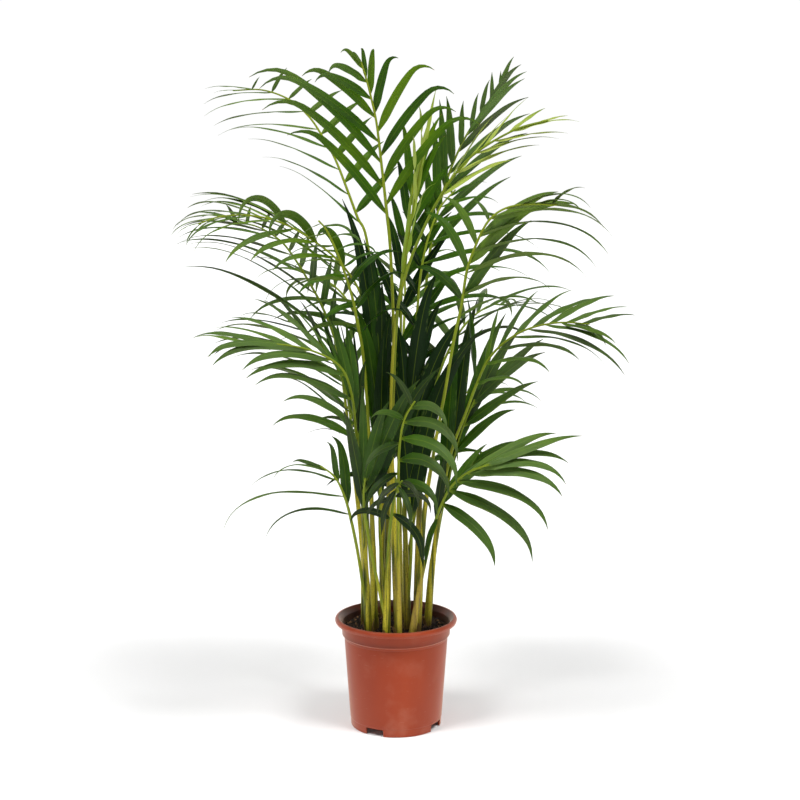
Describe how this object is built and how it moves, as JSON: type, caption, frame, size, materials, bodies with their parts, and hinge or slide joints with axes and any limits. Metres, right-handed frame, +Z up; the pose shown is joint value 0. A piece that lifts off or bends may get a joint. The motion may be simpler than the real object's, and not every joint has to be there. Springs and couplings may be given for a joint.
{
  "type": "potted palm",
  "caption": "Clump of areca palm canes with arching feather fronds, standing in soil in a terracotta-coloured plastic nursery pot with a notched foot.",
  "frame": {"origin": "bottom centre of the whole plant's bounding box, on the surface that the pot stands on; the pot's own axis stands about 60 mm in front of it", "axes": "+Z up along the pot's axis, +X to the right and -Y towards the viewer of the picture"},
  "size_m": [0.7698, 0.6699, 1.1466],
  "materials": {
    "pot": "satin terracotta-coloured plastic",
    "soil": "dark crumbly potting mix",
    "leaf": "living leaf and stem, satin green, with yellow-green canes"
  },
  "bodies": {
    "root": {"pot": "pot", "soil": "soil", "new_leaves": "leaf", "crown": "leaf", "right_tall": "leaf", "right_low": "leaf", "left_low": "leaf", "front_ribbons": "leaf", "front_small": "leaf", "right_bottom": "leaf", "left_tall": "leaf", "left_arch": "leaf", "centre_right": "leaf", "far_left": "leaf", "back_left": "leaf", "back_centre": "leaf", "back_right": "leaf", "far_back": "leaf"}
  },
  "joints": []
}
